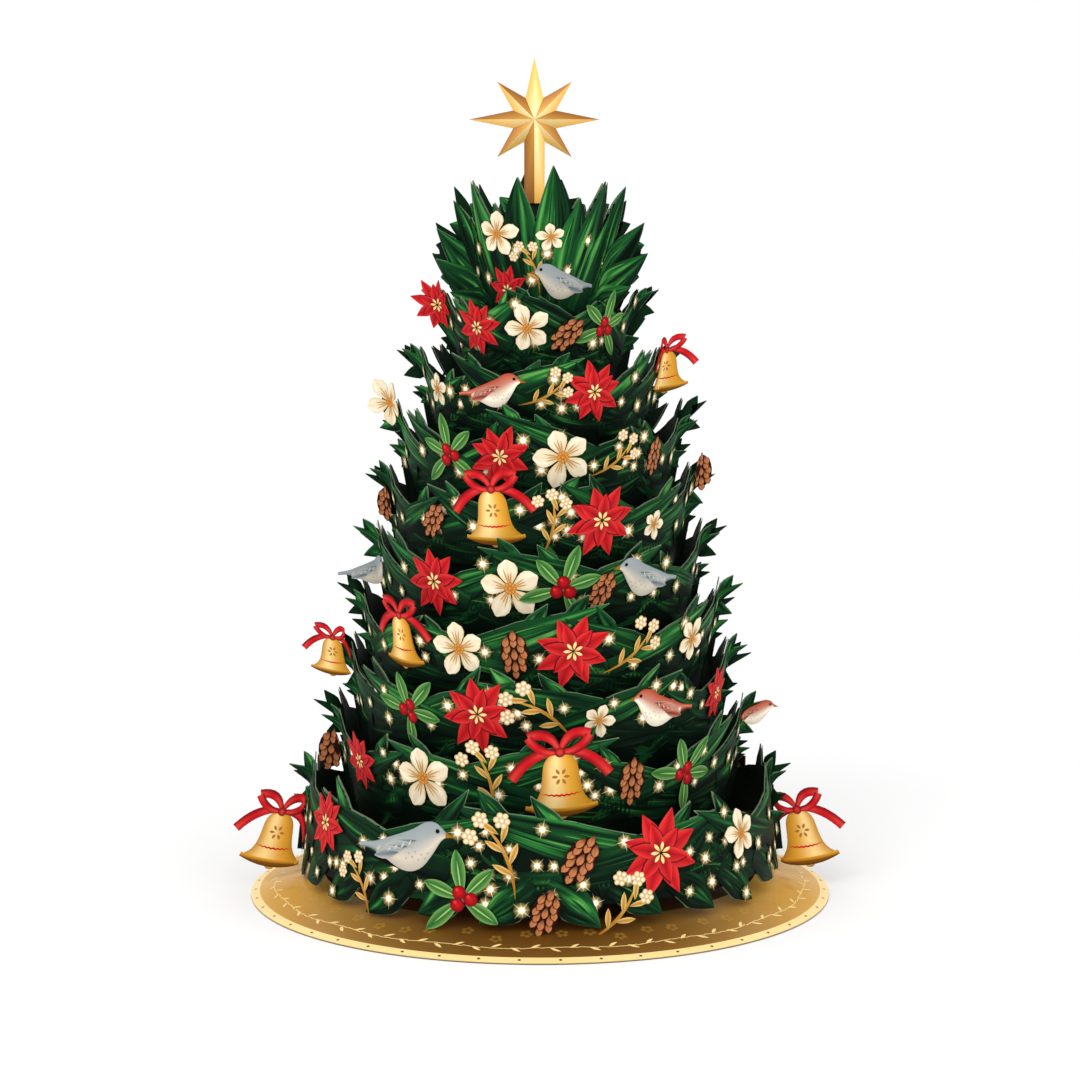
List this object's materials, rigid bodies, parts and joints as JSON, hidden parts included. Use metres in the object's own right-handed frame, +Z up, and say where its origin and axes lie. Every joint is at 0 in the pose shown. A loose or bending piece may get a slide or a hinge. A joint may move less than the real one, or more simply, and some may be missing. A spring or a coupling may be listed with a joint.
{
  "type": "pop up card",
  "caption": "Paper pop-up card standing open as a decorated fir tree: nested die-cut rings of boughs on a flared gold skirt, with a folded star on top.",
  "frame": {"origin": "middle of the base on the table", "axes": "+Z up, -Y towards the front of the tree as pictured, +X to its right"},
  "size_m": [0.2282, 0.214, 0.305],
  "materials": {
    "bough_card": "satin",
    "inner_card": "matte",
    "base_board": "matte",
    "skirt_card": "satin",
    "gold_foil_card": "satin"
  },
  "bodies": {
    "root": {"tier_01_front": "bough_card", "tier_01_back": "bough_card", "tier_02_front": "bough_card", "tier_02_back": "bough_card", "tier_03_front": "bough_card", "tier_03_back": "bough_card", "tier_04_front": "bough_card", "tier_04_back": "bough_card", "tier_05_front": "bough_card", "tier_05_back": "bough_card", "tier_06_front": "bough_card", "tier_06_back": "bough_card", "tier_07_front": "bough_card", "tier_07_back": "bough_card", "tier_08_front": "bough_card", "tier_08_back": "bough_card", "tier_09_front": "bough_card", "tier_09_back": "bough_card", "tier_10_front": "bough_card", "tier_10_back": "bough_card", "lower_platform_front": "inner_card", "lower_platform_back": "inner_card", "middle_platform_front": "inner_card", "middle_platform_back": "inner_card", "upper_platform_front": "inner_card", "upper_platform_back": "inner_card", "spine": "inner_card", "base_plate": "base_board", "skirt_front": "skirt_card", "skirt_back": "skirt_card", "star_front": "gold_foil_card", "star_back": "gold_foil_card"}
  },
  "joints": []
}
